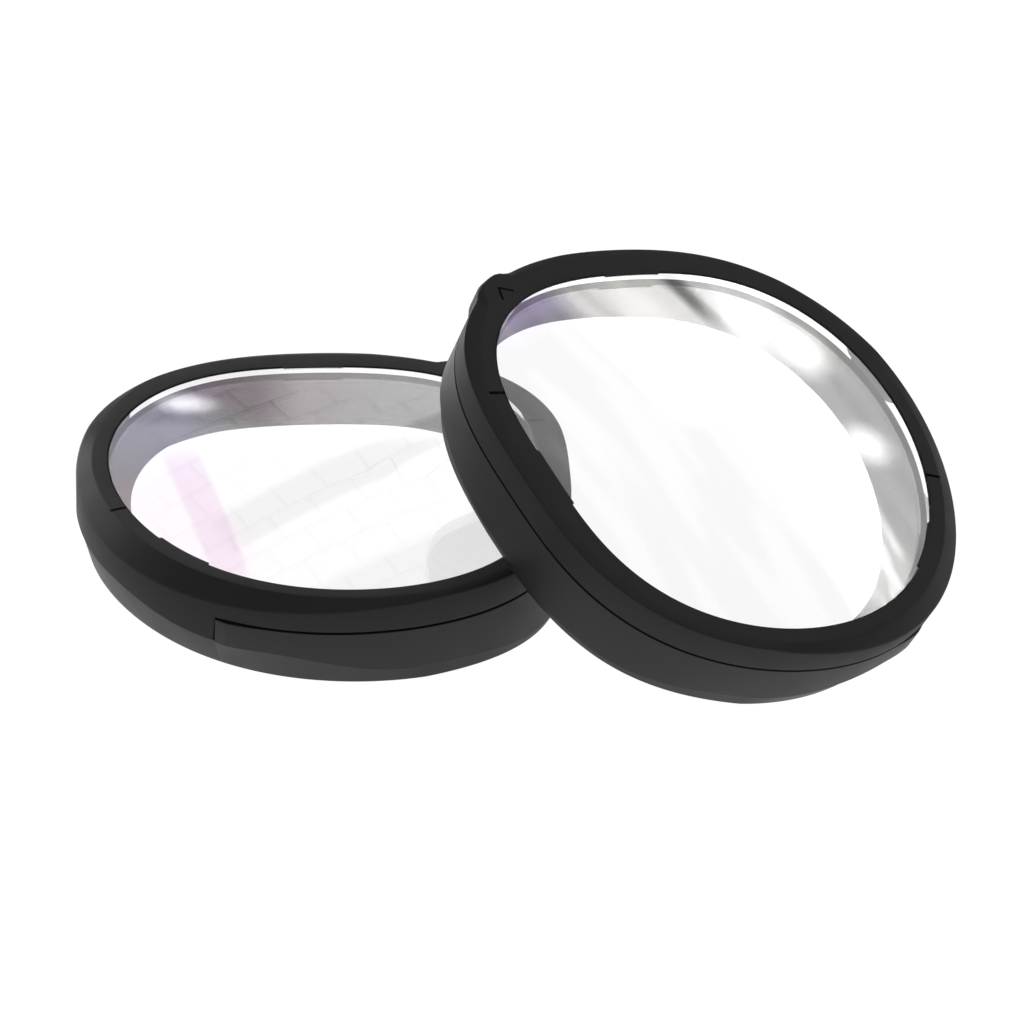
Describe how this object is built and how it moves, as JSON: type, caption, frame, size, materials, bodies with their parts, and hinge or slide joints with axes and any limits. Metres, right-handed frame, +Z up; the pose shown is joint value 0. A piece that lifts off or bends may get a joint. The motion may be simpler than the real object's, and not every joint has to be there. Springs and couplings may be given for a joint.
{
  "type": "headset lens insert pair",
  "caption": "Left and right clip-on lens inserts for a headset: black frames with clear lenses, held by magnets on adapter rings; one lies flat and the other leans on it.",
  "frame": {"origin": "centre of the pair's bounding box, on the floor that the left unit lies on", "axes": "+X along the pair from the left unit to the right unit, +Y away from the side the pair is seen from, +Z up, out of the eye side of the unit that lies flat"},
  "size_m": [0.0954, 0.0582, 0.0309],
  "materials": {
    "frame_black": "moulded matte black nylon",
    "adapter_black": "moulded matte black nylon",
    "liner_grey": "soft dark grey elastomer",
    "lens_clear": "clear optical resin with an anti-reflection coating",
    "magnet_nickel": "nickel-plated magnet"
  },
  "bodies": {
    "left_adapter": {"left_adapter_ring": "adapter_black", "left_grip_liner": "liner_grey", "left_adapter_magnet_1": "magnet_nickel", "left_adapter_magnet_2": "magnet_nickel", "left_adapter_magnet_3": "magnet_nickel", "left_adapter_magnet_4": "magnet_nickel"},
    "left_frame": {"left_lens_frame": "frame_black", "left_lens": "lens_clear", "left_frame_magnet_1": "magnet_nickel", "left_frame_magnet_2": "magnet_nickel", "left_frame_magnet_3": "magnet_nickel", "left_frame_magnet_4": "magnet_nickel"},
    "right_adapter": {"right_adapter_ring": "adapter_black", "right_grip_liner": "liner_grey", "right_adapter_magnet_1": "magnet_nickel", "right_adapter_magnet_2": "magnet_nickel", "right_adapter_magnet_3": "magnet_nickel", "right_adapter_magnet_4": "magnet_nickel"},
    "right_frame": {"right_lens_frame": "frame_black", "right_lens": "lens_clear", "right_frame_magnet_1": "magnet_nickel", "right_frame_magnet_2": "magnet_nickel", "right_frame_magnet_3": "magnet_nickel", "right_frame_magnet_4": "magnet_nickel"}
  },
  "joints": [
    {"name": "left_frame_release", "type": "slide", "parent": "left_adapter", "child": "left_frame", "axis": [0, 0, 1], "range_m": [0, 0.012]},
    {"name": "right_unit_lift", "type": "slide", "parent": "left_frame", "child": "right_adapter", "axis": [0, 0, 1], "range_m": [0, 0.03]},
    {"name": "right_frame_release", "type": "slide", "parent": "right_adapter", "child": "right_frame", "axis": [0.2733, -0.2893, 0.9174], "range_m": [0, 0.012]}
  ]
}
